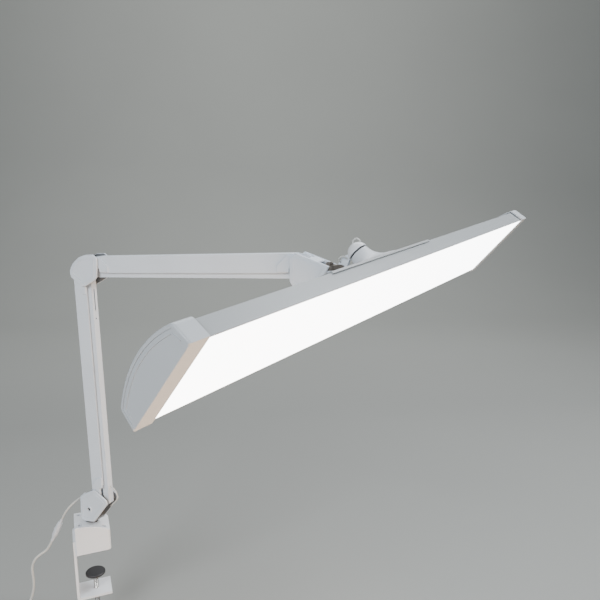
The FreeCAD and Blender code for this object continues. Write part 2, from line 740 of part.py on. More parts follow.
def make_neck_arm():
    """A wedge-shaped plate from the tilt pin up into the side of the ball."""
    points = [(447.1, 486.6, 4.6), (448.0, 496.4, 2.5), (453.6, 505.6, 2.0), (468.0, 513.5), (466.5, 507.5),
              (462.5, 502.5, 0.8), (457.0, 486.4, 4.6)]
    arm = new_body("neck_arm", ARM)
    pad(arm, "neck_plate", "XZ_Plane", outline(points), 6.0, middle=True)
    pocket(arm, "tilt_bore_arm", "XZ_Plane", circle(TILT[0], TILT[1], 2.5 + RUNNING), 20.0, middle=True)
    pin = rod(Vector(TILT[0], -6.2, TILT[1]), Vector(TILT[0], 6.2, TILT[1]), 2.5)
    heads = [rod(Vector(TILT[0], s * 6.2, TILT[1]), Vector(TILT[0], s * 7.2, TILT[1]), 3.4) for s in (-1, 1)]
    feature("tilt_pin", fuse([pin] + heads), ARM)
    return arm


def make_ball(neck_arm):
    """The half ball over the head's swivel; its flat side faces the head."""
    doc.recompute()
    centre = Vector(0, 0, size("ball_height"))
    radius = size("ball_radius")
    ball = Part.makeSphere(radius, centre)
    ball = ball.common(Part.makeBox(60, 60, 40, Vector(-30, -30, centre.z + 0.9)))
    plate = neck_arm.Shape.copy()
    plate.transformShape(HEAD.inverse().toMatrix())
    shaft = Part.makeCylinder(size("post_shaft"), 20, Vector(0, 0, centre.z - 10))
    feature("ball_cap", ball.cut(plate).cut(shaft), HEAD)
    top = centre.z + 6.5
    shaft = Part.makeCylinder(size("post_shaft"), top - 22.0, Vector(0, 0, 22.0))
    shaft = shaft.cut(plate)
    nut = hexagon(0, 0, 7.5, 22.6, 27.4)
    feature("ball_post", fuse([shaft, nut]), HEAD)


# ---- head ----------------------------------------------------------------------------

def section(step):
    """Half widths below and above, side height and back height of the head's section, moved in by step."""
    half = size("head_half_width") - step
    upper = half - size("side_draft")
    side = size("side_height") - 0.6 * step
    peak = size("back_height") - step
    return half, upper, side, peak


def arch_wire(step, low):
    """The head's closed section: a flat side below, drafted side walls and an arched back."""
    half, upper, side, peak = section(step)
    left = Vector(0, -upper, side)
    right = Vector(0, upper, side)
    edges = [
        Part.makeLine(Vector(0, -half, low), Vector(0, half, low)),
        Part.makeLine(Vector(0, half, low), right),
        Part.Arc(right, Vector(0, 0, peak), left).toShape(),
        Part.makeLine(left, Vector(0, -half, low)),
    ]
    return Part.Wire(edges)


def arch_solid(step, low, start, end):
    face = Part.Face(arch_wire(step, low))
    face.translate(Vector(start, 0, 0))
    return face.extrude(Vector(end - start, 0, 0))


def shell_edges():
    """Section of the aluminium extrusion: walls, diffuser seats and board ledges."""
    step = size("cap_proud")
    wall = size("shell_wall")
    half, upper, side, peak = section(step)

    def wall_y(z):
        return half - (half - upper) * (z - 1.0) / (side - 1.0)
    inner_top = side - 0.8
    right = [
        (half, 1.0), (wall_y(side), side),
    ]
    ledges = [
        (wall_y(inner_top) - wall, inner_top), (wall_y(14.0) - wall, 14.0), (46.5, 14.0), (46.5, 12.8),
        (wall_y(12.8) - wall, 12.8), (wall_y(4.4) - wall, 4.4), (50.6, 4.4), (50.6, 3.1), (wall_y(3.1) - 1.2, 3.1),
        (wall_y(1.0) - 1.2, 1.0),
    ]
    edges = []

    def add_run(points):
        for start, end in zip(points, points[1:]):
            edges.append(Part.LineSegment(Vector(start[0], start[1], 0), Vector(end[0], end[1], 0)))
    add_run(right)
    edges.append(Part.Arc(Vector(right[-1][0], right[-1][1], 0), Vector(0, peak, 0),
                          Vector(-right[-1][0], right[-1][1], 0)))
    mirrored = [(-y, z) for y, z in reversed(right)]
    mirrored_ledges = [(-y, z) for y, z in reversed(ledges)]
    add_run(mirrored + mirrored_ledges)
    first = mirrored_ledges[-1]
    edges.append(Part.Arc(Vector(first[0], first[1], 0), Vector(0, peak - wall, 0),
                          Vector(-first[0], first[1], 0)))
    add_run(ledges + [right[0]])
    return edges


BUTTON_X = -112.0
ROCKER_X = -134.0
PLATE_SPAN = (-150.0, 45.0)


def make_head_shell():
    shell = new_body("head_shell", HEAD)
    pad(shell, "shell_section", "YZ_Plane", shell_edges(), cell("head_length") + " - 5.2", middle=True)
    pocket(shell, "post_hole", "XY_Plane", circle(0, 0, 6.0), 20.0, lift=40.0)
    pocket(shell, "button_hole", "XY_Plane", circle(BUTTON_X, 0, 5.8), 20.0, lift=40.0)
    pocket(shell, "rocker_hole", "XY_Plane", rocker_outline(0.4), 20.0, lift=40.0)


def rocker_outline(gap):
    half_x = 10.0 + gap
    half_y = 4.5 + gap
    return outline([(ROCKER_X - half_x, -half_y), (ROCKER_X + half_x, -half_y), (ROCKER_X + half_x, half_y),
                    (ROCKER_X - half_x, half_y)], 2.0)


def make_end_caps():
    """Moulded caps over both ends, a little proud of the extrusion, with a recess and a raised line."""
    half_length = size("head_length") / 2
    inner_end = half_length - size("cap_length")
    proud = size("cap_proud")
    outer = arch_solid(0.0, 0.0, inner_end, half_length)
    outer = outer.makeFillet(6.0, [e for e in outer.Edges if e.BoundBox.XLength > 14 and e.CenterOfMass.z > 10])
    outer = outer.makeFillet(1.8, [e for e in outer.Edges if abs(e.CenterOfMass.x - half_length) < 0.01])
    cap = outer.cut(arch_solid(proud, 1.0, inner_end - 1, half_length - 2.4))
    cap = cap.cut(arch_solid(proud - 0.9, 1.0, inner_end - 1, inner_end + 4))
    cap = cap.cut(arch_solid(3.4, -1.0, half_length - 0.6, half_length + 1))
    line = Part.Face(arch_wire(6.6, 8.0)).cut(Part.Face(arch_wire(7.5, 7.0)))
    line.translate(Vector(half_length - 0.7, 0, 0))
    cap = cap.fuse(line.extrude(Vector(0.6, 0, 0)))
    turned = cap.copy()
    turned.rotate(Vector(0, 0, 0), Vector(0, 0, 1), 180)
    feature("end_caps", Part.makeCompound([cap, turned]), HEAD)


def make_light():
    half, _, _, _ = section(size("cap_proud"))
    width = 2 * (half - 1.5)
    length = size("head_length") - 5.6
    sheet_body = new_body("diffuser", HEAD)
    points = [(-length / 2, -width / 2), (length / 2, -width / 2), (length / 2, width / 2), (-length / 2, width / 2)]
    pad(sheet_body, "diffuser_sheet", "XY_Plane", outline(points), 2.0, lift=1.05)
    board = Part.makeBox(640, 98, 1.5, Vector(-320, -49, 14.0))
    chips = []
    for row_y in (-26.0, 26.0):
        for i in range(32):
            chips.append(Part.makeBox(5.0, 3.0, 0.9, Vector(-305.9 + i * 19.55, row_y - 1.5, 13.2)))
    feature("led_board", fuse([board] + chips), HEAD)
    driver = Part.makeBox(84, 36, 9.5, Vector(66, -18, 15.5))
    driver = driver.makeFillet(1.5, [e for e in driver.Edges if e.BoundBox.ZLength > 9])
    feature("led_driver", driver, HEAD)


def make_cover_plate():
    """A shallow raised plate over the back, wrapped a little way down the sides; it carries the switches."""
    proud = size("cap_proud")
    under = arch_solid(proud, 1.0, -200, 200)
    over = arch_solid(proud - size("cover_plate"), 1.0, *PLATE_SPAN)
    over = over.makeFillet(3.0, [e for e in over.Edges if e.BoundBox.XLength > 100 and e.CenterOfMass.z > 10])
    strip = Part.makeBox(500, 200, 30, Vector(-250, -100, 17.5))
    plate = over.cut(under).common(strip)
    plate = plate.cut(Part.makeCylinder(6.0, 20, Vector(0, 0, 25)))
    plate = plate.cut(Part.makeCylinder(5.8, 20, Vector(BUTTON_X, 0, 25)))
    window = Part.Face(Part.Wire([e.toShape() for e in rocker_outline(0.4)]))
    window.translate(Vector(0, 0, 25))
    feature("cover_plate", plate.cut(window.extrude(Vector(0, 0, 20))), HEAD)


def make_swivel_pad():
    """The flared pad that rises from the back of the head to the ball."""
    ring_low = size("ball_height") - 1.2
    sections = []
    for height, long_half, short_half in ((27.0, 76.0, 36.0), (33.0, 63.0, 31.5), (38.0, 40.0, 24.0),
                                          (46.0, 22.0, 16.0), (ring_low, 12.02, 12.0)):
        curve = Part.Ellipse(Vector(0, 0, height), long_half, short_half)
        sections.append(Part.Wire([curve.toShape()]))
    flare = Part.makeLoft(sections, True, False)
    under = arch_solid(size("cap_proud") - size("cover_plate"), 1.0, -200, 200)
    flare = flare.cut(under)
    flare = flare.cut(Part.makeCylinder(size("post_shaft") + RUNNING, 60, Vector(0, 0, 10)))
    feature("swivel_pad", flare, HEAD)
    seal = Part.makeCylinder(11.0, 1.7, Vector(0, 0, ring_low))
    seal = seal.cut(Part.makeCylinder(size("post_shaft") + RUNNING, 4, Vector(0, 0, ring_low - 1)))
    feature("swivel_seal", seal, HEAD)


def make_switches():
    _, _, _, peak = section(size("cap_proud"))
    top = peak + size("cover_plate")
    button = Part.makeCylinder(5.5, top + 1.6 - 26.0, Vector(BUTTON_X, 0, 26.0))
    button = button.makeFillet(0.8, [e for e in button.Edges if abs(e.CenterOfMass.z - top - 1.6) < 0.01])
    feature("power_button", button, HEAD)
    face = Part.Face(Part.Wire([e.toShape() for e in rocker_outline(0.0)]))
    face.translate(Vector(0, 0, 27.0))
    rocker = face.extrude(Vector(0, 0, top + 1.4 - 27.0))
    dish = Part.makeCylinder(40, 20, Vector(ROCKER_X, -10, top + 40.4), Vector(0, 1, 0))
    pivot = rod(Vector(ROCKER_X, -6.5, 28.0), Vector(ROCKER_X, 6.5, 28.0), 1.0)
    feature("dimmer_rocker", rocker.cut(dish).fuse(pivot), HEAD)


# ---- leads ---------------------------------------------------------------------------

def arm_point(u, across, z):
    return ARM.multVec(Vector(u, across, z))


GLAND_WAY = unit(Vector(-0.80, 0.25, -0.55))
GLAND_START = arm_point(-8.2, 0, 91.0)
LEAD_START = GLAND_START + GLAND_WAY * 9.6
LAMP_LEAD = [
    LEAD_START, LEAD_START + GLAND_WAY * 7.5, Vector(-27.2, 11.5, 75.8), Vector(-35.9, 10.0, 68.4),
    Vector(-42.5, 10.0, 58.9), Vector(-45.9, 10.0, 52.1),
]
PLUG_END = Vector(-63.3, 10.0, 18.1)
SUPPLY_LEAD = [
    PLUG_END, Vector(-67.9, 10.0, 9.2), Vector(-74.5, 10.0, 1.6), Vector(-83.5, 10.0, -2.6),
    Vector(-91.0, 10.0, -8.4), Vector(-96.4, 10.0, -18.1), Vector(-97.4, 10.0, -30.5), Vector(-96.2, 10.0, -44.9),
    Vector(-97.6, 10.0, -62.8), Vector(-103.8, 9.5, -80.7), Vector(-110.5, 10.5, -98.0),
    Vector(-115.8, 9.5, -113.5), Vector(-119.0, 4.5, -126.0), Vector(-120.0, -5.0, -134.5),
    Vector(-118.6, -16.5, -138.0),
]
COIL_CENTRE = Vector(-93.0, -19.0, -140.0)
COIL_TURN = 22.0
COIL_HEIGHT = 24.0


def turned_piece(name, start, way, profile):
    """A turned piece whose profile of (distance along the axis, radius) runs from start."""
    corners = [Vector(0, 0, 0)] + [Vector(r, 0, d) for d, r in profile]
    corners.append(Vector(0, 0, profile[-1][0]))
    corners.append(corners[0])
    solid = Part.Face(Part.makePolygon(corners)).revolve(Vector(0, 0, 0), Vector(0, 0, 1), 360)
    feature(name, solid, Placement(start, Rotation(Vector(0, 0, 1), way)))


def make_leads():
    turned_piece("cord_gland", GLAND_START, GLAND_WAY, [(0, 3.4), (2.6, 3.4), (3.0, 2.9), (9.6, 2.1)])
    cord_piece("lamp_lead", LAMP_LEAD, size("lamp_lead"))
    way = unit(PLUG_END - LAMP_LEAD[-1])
    middle = LAMP_LEAD[-1] + way * 17.6
    turned_piece("inline_socket", LAMP_LEAD[-1], way,
                 [(0, 1.9), (5.0, 2.6), (6.0, 3.9), (10.0, 4.5), (16.4, 4.6), (16.6, 5.1), (17.6, 5.1)])
    rest = (PLUG_END - middle).Length
    turned_piece("inline_plug", middle, way,
                 [(0, 4.5), (1.0, 4.7), (8.0, 4.5), (12.0, 3.9), (13.0, 3.0), (rest, 2.4)])
    cord_piece("supply_lead", SUPPLY_LEAD, size("supply_lead"))
    outer = COIL_TURN + size("supply_lead") + 0.3
    inner = COIL_TURN - size("supply_lead") - 0.3
    ring = Part.makeCylinder(outer, COIL_HEIGHT, COIL_CENTRE).cut(Part.makeCylinder(inner, COIL_HEIGHT, COIL_CENTRE))
    ring = ring.makeFillet(2.0, [e for e in ring.Edges if e.BoundBox.ZLength < 0.01])
    feature("supply_coil", ring)
    make_coil_tie(inner, outer)
    make_adapter()


def make_coil_tie(inner, outer):
    """A band round the coil's bundle, on the side away from the lamp."""
    depth = outer - inner
    spot = Vector(-COIL_TURN, 0, COIL_HEIGHT / 2)
    outside = Part.makeBox(depth + 2.4, 7.0, COIL_HEIGHT + 1.2, spot - Vector((depth + 2.4) / 2, 3.5, COIL_HEIGHT / 2))
    outside = outside.makeFillet(2.0, [e for e in outside.Edges if e.BoundBox.YLength > 6])
    inside = Part.makeBox(depth + 0.2, 9.0, COIL_HEIGHT + 0.1, spot - Vector((depth + 0.2) / 2, 4.5, COIL_HEIGHT / 2))
    feature("coil_tie", outside.cut(inside), Placement(COIL_CENTRE, Rotation(Vector(0, 0, 1), 150)))


ADAPTER = Vector(-117.0, -30.0, -118.0)


def make_adapter():
    """The plug-in power supply, lying on its side beside the coil."""
    relief_length = 22.0
    corners = [Vector(0, 0, 0), Vector(2.4, 0, 0), Vector(4.4, 0, relief_length), Vector(0, 0, relief_length)]
    relief = Part.Face(Part.makePolygon(corners + [corners[0]])).revolve(Vector(0, 0, 0), Vector(0, 0, 1), 360)
    relief.rotate(Vector(0, 0, 0), Vector(1, 0, 0), 90)
    relief.translate(ADAPTER)
    front = ADAPTER.y - relief_length
    box = Part.makeBox(40, 50, 27, Vector(ADAPTER.x - 20, front - 50, COIL_CENTRE.z))
    box = box.makeFillet(4.0, [e for e in box.Edges if e.BoundBox.YLength > 40])
    box = box.makeFillet(1.5, [e for e in box.Edges if e.BoundBox.YLength < 0.01])
    feature("power_adapter", box.fuse(relief))
    prongs = []
    for way in (-1, 1):
        start = Vector(ADAPTER.x + way * 9.5, front - 50, COIL_CENTRE.z + 13.5)
        prongs.append(rod(start, start - Vector(0, 19, 0), 2.0))
    feature("adapter_prongs", Part.makeCompound(prongs))


def make_cable_loops():
    """Short cable loops that cross the joints, each carried by one side of its joint."""
    pads = [(48.6, 118.0), (54.4, 115.8), (60.4, 110.4), (62.4, 102.4), (59.0, 94.6), (52.4, 89.0), (46.5, 83.5)]
    loop = [Vector(u, 0, z) for u, z in pads]
    cord_piece("base_cable", loop, 2.0, ARM)
    neck = [Vector(451.6, -3.7, 500.2), Vector(450.6, -6.4, 503.2), Vector(452.8, -7.0, 506.6),
            Vector(457.6, -6.2, 507.4), Vector(460.8, -3.6, 504.6)]
    over = [Vector(466.3, 0.0, 520.5), Vector(465.6, 0.0, 525.6), Vector(469.7, 0.2, 529.0),
            Vector(474.4, 0.8, 527.2), Vector(475.8, 1.2, 522.4)]
    first, _, _ = tube_route(neck, 0.9)
    second, _, _ = tube_route(over, 0.9)
    feature("neck_cable", Part.makeCompound([first, second]), ARM)


def check_and_export():
    doc.recompute()
    os.makedirs("parts", exist_ok=True)
    for obj in doc.Objects:
        if "Invalid" in obj.State or "Error" in obj.State:
            raise ValueError(f"{obj.Name} failed: {obj.State}")
    for obj in PARTS:
        shape = obj.Shape
        if shape.isNull() or not shape.isValid():
            raise ValueError(obj.Label + " has no valid shape")
        print(f"{obj.Label}: {len(shape.Solids)} solid(s), {shape.Volume:.0f} mm3")
    for obj in PARTS:
        obj.Shape.exportStep(f"parts/{obj.Label}.step")


make_clamp_block()
make_strap()
make_block_screws()
make_jaw_pad()
make_swivel_bush()
make_pressure_pad()
make_clamp_screw()
make_clamp_knob()
make_swivel_post()
make_fork()
make_fork_bolt()
pin_group("fork_pins", [(PIN_A, size("main_pin")), (PIN_B, size("link_pin"))])
for bar, length, shift, place in (
    ("lower", size("lower_length"), LOWER_LINK_SHIFT, LOWER_BAR),
    ("upper", size("upper_length"), UPPER_LINK_SHIFT, UPPER_BAR),
):
    make_channel(bar + "_channel", length, place)
    make_knuckles(bar + "_knuckles", length, place)
    make_link(bar + "_link_bar", length, shift, place)
    hooks = make_spring(bar + "_spring", length, place)
    make_spring_posts(bar + "_spring_posts", *hooks, place)
make_elbow()
make_wrist()
make_pan_hub()
make_pan_fasteners()
make_ball(make_neck_arm())
make_head_shell()
make_end_caps()
make_light()
make_cover_plate()
make_swivel_pad()
make_switches()
make_leads()
make_cable_loops()
check_and_export()
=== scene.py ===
# %% [markdown]
# # A clamp-on work lamp
# The lamp stands on a table clamp, reaches out on two balanced arms and holds a long, flat
# panel of light. Its parts were drawn in CAD, and this lesson gives them their looks: paint,
# moulded plastic, bright steel, cable and light. Every length is in metres, in the CAD's own
# frame, so that a new piece goes where the drawing says, with no fitting by eye.

# %% Load the lamp
import json
import math

import bpy
from mathutils import Matrix, Vector

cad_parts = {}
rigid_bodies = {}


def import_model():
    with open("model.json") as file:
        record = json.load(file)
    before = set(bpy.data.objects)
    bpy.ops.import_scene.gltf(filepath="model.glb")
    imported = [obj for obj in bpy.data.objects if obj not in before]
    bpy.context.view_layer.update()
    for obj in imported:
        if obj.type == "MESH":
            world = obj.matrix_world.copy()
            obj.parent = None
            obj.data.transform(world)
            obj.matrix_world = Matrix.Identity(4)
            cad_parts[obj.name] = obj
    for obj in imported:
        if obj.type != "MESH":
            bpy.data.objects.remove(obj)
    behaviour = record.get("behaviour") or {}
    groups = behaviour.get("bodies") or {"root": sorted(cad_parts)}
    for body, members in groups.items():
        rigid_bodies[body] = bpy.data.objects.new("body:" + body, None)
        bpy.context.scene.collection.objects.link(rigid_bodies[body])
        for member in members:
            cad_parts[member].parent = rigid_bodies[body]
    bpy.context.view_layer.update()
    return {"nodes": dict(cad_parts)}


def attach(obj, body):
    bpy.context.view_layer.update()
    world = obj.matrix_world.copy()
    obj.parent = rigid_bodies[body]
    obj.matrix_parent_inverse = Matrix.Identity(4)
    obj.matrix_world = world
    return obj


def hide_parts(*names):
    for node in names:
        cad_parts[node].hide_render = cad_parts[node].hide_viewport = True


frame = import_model()
nodes = frame["nodes"]
MM = 0.001

# %% [markdown]
# ## The camera
# The lamp is seen from the front left of the clamp, a little above the elbow, looking slightly
# down. A camera can be turned by angles or be given its own three axes. Three axes say the same
# thing with no order of turning to remember, so they become the columns of its matrix.

# %% Place the camera
CAMERA_PLACE = Vector((-12.661, -986.594, 583.739)) * MM
CAMERA_RIGHT = Vector((0.92901811, -0.36992942, -0.00880779))
CAMERA_UP = Vector((0.07405042, 0.16253917, 0.98391948))
CAMERA_BACK = CAMERA_RIGHT.cross(CAMERA_UP)

camera_data = bpy.data.cameras.new("camera")
camera_data.sensor_width = 36.0
camera_data.lens = 36.005
camera = bpy.data.objects.new("camera", camera_data)
bpy.context.collection.objects.link(camera)
axes = Matrix((CAMERA_RIGHT, CAMERA_UP, CAMERA_BACK)).transposed()
camera.matrix_world = Matrix.Translation(CAMERA_PLACE) @ axes.to_4x4()
bpy.context.scene.camera = camera
print("camera looks along", [round(v, 3) for v in -CAMERA_BACK])

# %% [markdown]
# ## The leads
# Two leads feed the lamp. A thin one comes out of the fork and ends in a small in-line
# connector; a thicker one goes on from there, falls past the clamp and ends in the plug-in
# supply. A lead could be a swept mesh, but a curve with a round bevel keeps its centre line and
# stays easy to bend. The line is a NURBS spline of order 3: it passes near its points, not
# through them, as a soft cable does when it is laid round corners. Each point carries the
# cable's own radius and the bevel is left at one, so the curve's box is as wide as the cable.

# %% Draw a lead through its points
def lead_curve(name, points, diameter):
    curve = bpy.data.curves.new(name, "CURVE")
    curve.dimensions = "3D"
    spline = curve.splines.new("NURBS")
    spline.points.add(len(points) - 1)
    for spot, point in zip(spline.points, points):
        spot.co = (*point, 1.0)
        spot.radius = diameter / 2
    spline.order_u = 3
    spline.use_endpoint_u = True
    spline.resolution_u = 10
    curve.bevel_depth = 1.0
    curve.bevel_resolution = 5
    curve.use_fill_caps = True
    lead = bpy.data.objects.new(name, curve)
    bpy.context.collection.objects.link(lead)
    return lead


def spline_length(lead):
    bare = lead.data.copy()
    bare.bevel_depth = 0
    holder = bpy.data.objects.new("measure", bare)
    line = bpy.data.meshes.new_from_object(holder)
    total = sum((line.vertices[a].co - line.vertices[b].co).length
                for a, b in (edge.vertices for edge in line.edges))
    bpy.data.objects.remove(holder)
    bpy.data.curves.remove(bare)
    bpy.data.meshes.remove(line)
    return total


# %% [markdown]
# Both arms lie in one upright plane that stands at an angle to the clamp. Places on them are
# easier to give in that plane than in the room, so a small function turns one into the other,
# and a second one does the same along a bar that rises at its own angle.

# %% Places on the arms
YAW = math.radians(48.76)
LOWER_BAR = ((29.0, 98.0), math.radians(90.88))
UPPER_BAR = ((48.0, 478.4), math.radians(2.99))


def arm_point(u, t, z):
    """A point of the arm plane: u outwards, t across, z up, in millimetres."""
    out = Vector((math.cos(YAW), -math.sin(YAW), 0))
    across = Vector((math.sin(YAW), math.cos(YAW), 0))
    return (out * u + across * t + Vector((0, 0, z))) * MM


def on_bar(bar, along, off):
    """A point given along and off a bar, which is its first pin's (u, z) and its rise."""
    (u, z), rise = bar
    return arm_point(u + along * math.cos(rise) - off * math.sin(rise), 0,
                     z + along * math.sin(rise) + off * math.cos(rise))


ACROSS = arm_point(0, 1, 0).normalized()
print("elbow end of the lower bar", [round(v, 4) for v in on_bar(LOWER_BAR, 370, 0)])

# %% [markdown]
# The thin lead leaves the fork through a small gland that points back and down. Its first
# points lie on the gland's own line, so that it comes out straight before it starts to fall.

# %% The thin lamp lead
THIN = 0.0030
GLAND_ROOT = arm_point(-8.2, 0, 91.0)
GLAND_LENGTH, STRAIGHT_RUN = 9.6, 7.5

gland_way = Vector((-0.80, 0.25, -0.55)).normalized()
lead_start = GLAND_ROOT + gland_way * GLAND_LENGTH * MM
thin_route = [lead_start, lead_start + gland_way * STRAIGHT_RUN * MM] + [Vector(p) * MM for p in (
    (-27.2, 11.5, 75.8), (-35.9, 10.0, 68.4), (-42.5, 10.0, 58.9), (-45.9, 10.0, 52.1))]
thin_lead = lead_curve("thin_lead", thin_route, THIN)
thin_length = spline_length(thin_lead)
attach(thin_lead, "fork")
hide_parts("lamp_lead")
print("thin lead", round(thin_length, 4), "m")

# %% [markdown]
# The supply lead hangs from the connector in a slack S, and the part of it that no one needs
# is wound into a small round coil on the floor, tied with a band. Each row of the coil has two
# passes, a diameter apart, and the rows are a diameter apart too: the first row is wound from
# the outside in, the next from the inside out, and so on up. A pass moves over just before the
# place where the one before it moved, and so no two of them run through each other.

# %% The supply lead and its coil
THICK = 0.0040
COIL_CENTRE = (-93.0, -19.0)
ROW_HEIGHTS = range(-138, -114, 4)
INNER, OUTER = 20, 24
COIL_PASSES = [(radius, height) for row, height in enumerate(ROW_HEIGHTS)
               for radius in ((OUTER, INNER) if row % 2 == 0 else (INNER, OUTER))]
STEPS_PER_TURN = 12
STEP = 360 // STEPS_PER_TURN
DRAW_IN = 0.968   # the spline's circle over its points' circle


def coil_points():
    """The coil's points, from the place where the lead joins it to its last whole turn."""
    points = []
    moves = [STEPS_PER_TURN + k * (STEPS_PER_TURN - 1) for k in range(len(COIL_PASSES) - 1)]
    last = (moves[-1] // STEPS_PER_TURN + 1) * STEPS_PER_TURN
    for count in range(1, last):
        turn = sum(1 for move in moves if count >= move)
        radius, height = COIL_PASSES[turn]
        if count in moves:
            radius = (radius + COIL_PASSES[turn - 1][0]) / 2
            height = (height + COIL_PASSES[turn - 1][1]) / 2
        angle = math.radians(180 + STEP * count)
        points.append((COIL_CENTRE[0] + radius / DRAW_IN * math.cos(angle),
                       COIL_CENTRE[1] + radius / DRAW_IN * math.sin(angle), height))
    return points


supply_route = [Vector(p) * MM for p in [
    (-63.3, 10.0, 18.1), (-67.9, 10.0, 9.2), (-74.5, 10.0, 1.6), (-83.5, 10.0, -2.6), (-91.0, 10.0, -8.4),
    (-96.4, 10.0, -18.1), (-97.4, 10.0, -30.5), (-96.2, 10.0, -44.9), (-97.6, 10.0, -62.8),
    (-103.8, 9.5, -80.7), (-110.5, 10.5, -98.0), (-115.8, 9.5, -113.5), (-119.0, 4.5, -126.0),
    (-120.0, -5.0, -134.5), (-118.2, -15.0, -138.0)] + coil_points() + [
    (-117.0, -19.0, -118.0), (-117.0, -25.0, -118.0), (-117.0, -30.0, -118.0)]]
supply_lead = lead_curve("supply_lead_cable", supply_route, THICK)
supply_length = spline_length(supply_lead)
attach(supply_lead, "fork")
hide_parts("supply_lead", "supply_coil")
print("supply lead", round(supply_length, 3), "m")

# %% [markdown]
# ## Finishes
# Powder coat, moulded plastic and cable sheath are all close to white, and what tells them
# apart is the surface: the size of its grain, how it scatters light and how even its colour is.
# Each finish starts as one Principled shader. Two noises on Object coordinates then shape it: a
# broad one that lets the tone drift a little, and a fine one for the grain. Painting textures
# would work too, but they need a drawn map for each part.

# %% The coordinates that a finish is laid on
def finish_coordinates(tree, stretch, turn):
    """Object coordinates, turned to lie along a piece and stretched the way it was drawn."""
    place = tree.nodes.new("ShaderNodeTexCoord")
    mapping = tree.nodes.new("ShaderNodeMapping")
    mapping.vector_type = "TEXTURE"
    mapping.inputs["Rotation"].default_value = turn
    tree.links.new(place.outputs["Object"], mapping.inputs["Vector"])
    scale = tree.nodes.new("ShaderNodeVectorMath")
    scale.operation = "MULTIPLY"
    scale.inputs[1].default_value = stretch
    tree.links.new(mapping.outputs["Vector"], scale.inputs[0])
    return scale.outputs["Vector"]


# %% [markdown]
# The broad noise goes through a colour ramp with the finish's tone made a little darker at one
# end and a little lighter at the other, so even a plain coat isn't one flat colour.

# %% The broad noise: a drifting tone
def drifting_tone(tree, laid_on, tone, drift, drift_size):
    broad = tree.nodes.new("ShaderNodeTexNoise")
    broad.inputs["Scale"].default_value = drift_size
    broad.inputs["Detail"].default_value = 5.0
    tree.links.new(laid_on, broad.inputs["Vector"])
    tones = tree.nodes.new("ShaderNodeValToRGB")
    dark = [max(c * (1 - drift), 0.0) for c in tone]
    light = [min(c * (1 + drift), 1.0) for c in tone]
    tones.color_ramp.elements[0].position = 0.3
    tones.color_ramp.elements[0].color = (*dark, 1)
    tones.color_ramp.elements[1].position = 0.7
    tones.color_ramp.elements[1].color = (*light, 1)
    tree.links.new(broad.outputs["Fac"], tones.inputs["Fac"])
    return tones.outputs["Color"]


# %% [markdown]
# The fine noise does two jobs. It makes the surface a little rougher in one place than in the
# next, and as a bump it gives the coat its grain. Real bumps this small would need millions of
# faces; a bump only bends the light, and costs none.

# %% The fine noise: grain, and a sheen that changes with it
GRAIN_DEPTH = 0.0002


def fine_grain(tree, laid_on, shader, rough, rough_drift, grain, relief):
    fine = tree.nodes.new("ShaderNodeTexNoise")
    fine.inputs["Scale"].default_value = grain
    fine.inputs["Detail"].default_value = 3.0
    tree.links.new(laid_on, fine.inputs["Vector"])
    sheen = tree.nodes.new("ShaderNodeMapRange")
    sheen.inputs["To Min"].default_value = max(rough - rough_drift, 0.02)
    sheen.inputs["To Max"].default_value = min(rough + rough_drift, 1.0)
    tree.links.new(fine.outputs["Fac"], sheen.inputs["Value"])
    tree.links.new(sheen.outputs["Result"], shader.inputs["Roughness"])
    bump = tree.nodes.new("ShaderNodeBump")
    bump.inputs["Strength"].default_value = relief
    bump.inputs["Distance"].default_value = GRAIN_DEPTH
    tree.links.new(fine.outputs["Fac"], bump.inputs["Height"])
    tree.links.new(bump.outputs["Normal"], shader.inputs["Normal"])


# %% A finish with a drifting tone and a fine grain
def surface(name, tone, rough, metal=0.0, drift=0.03, drift_size=14.0, grain=1200.0, relief=0.05,
            stretch=(1.0, 1.0, 1.0), turn=(0.0, 0.0, 0.0), rough_drift=0.06):
    made = bpy.data.materials.new(name)
    made.use_nodes = True
    tree = made.node_tree
    shader = tree.nodes["Principled BSDF"]
    shader.inputs["Metallic"].default_value = metal
    laid_on = finish_coordinates(tree, stretch, turn)
    colour = drifting_tone(tree, laid_on, tone, drift, drift_size)
    tree.links.new(colour, shader.inputs["Base Color"])
    fine_grain(tree, laid_on, shader, rough, rough_drift, grain, relief)
    return made


# %% [markdown]
# The arms, covers and clamp are powder coated: a cool white with a fine orange peel. The clamp's
# copy of the coat is lighter, a painted highlight for the stronger light on its front. The head
# is an extrusion with a silkier, greyer coat. It was drawn along its length, and so its noise
# is turned to lie along the head and stretched that way. Caps, ball and connectors are moulded,
# and their grain is finer.

# %% The white finishes
paint = surface("powder_coat_white", (0.71, 0.77, 0.84), 0.42, grain=1500, relief=0.10)
# the clamp's coat is a lighter copy of the same white: painted highlight for the light on its front
lit_clamp_paint = surface("powder_coat_clamp_painted_light", (0.86, 0.89, 0.93), 0.46, grain=1300, relief=0.14)
HEAD_TURN = (math.radians(-47.0), math.radians(-4.76), math.radians(30.1))
extrusion = surface("silk_coat_extrusion", (0.34, 0.365, 0.38), 0.36, metal=0.15, grain=900, relief=0.06,
                    stretch=(0.03, 1.0, 1.0), turn=HEAD_TURN)
moulding = surface("moulded_white", (0.63, 0.66, 0.70), 0.40, grain=2200, relief=0.06, drift=0.02)
cap_moulding = surface("moulded_cap_white", (0.50, 0.535, 0.57), 0.38, grain=2200, relief=0.06, drift=0.02)
ball_gloss = surface("moulded_gloss_white", (0.76, 0.78, 0.81), 0.22, grain=600, relief=0.02, drift=0.015)
sheath = surface("cable_sheath_white", (0.58, 0.59, 0.57), 0.50, grain=1800, relief=0.08, drift=0.04)
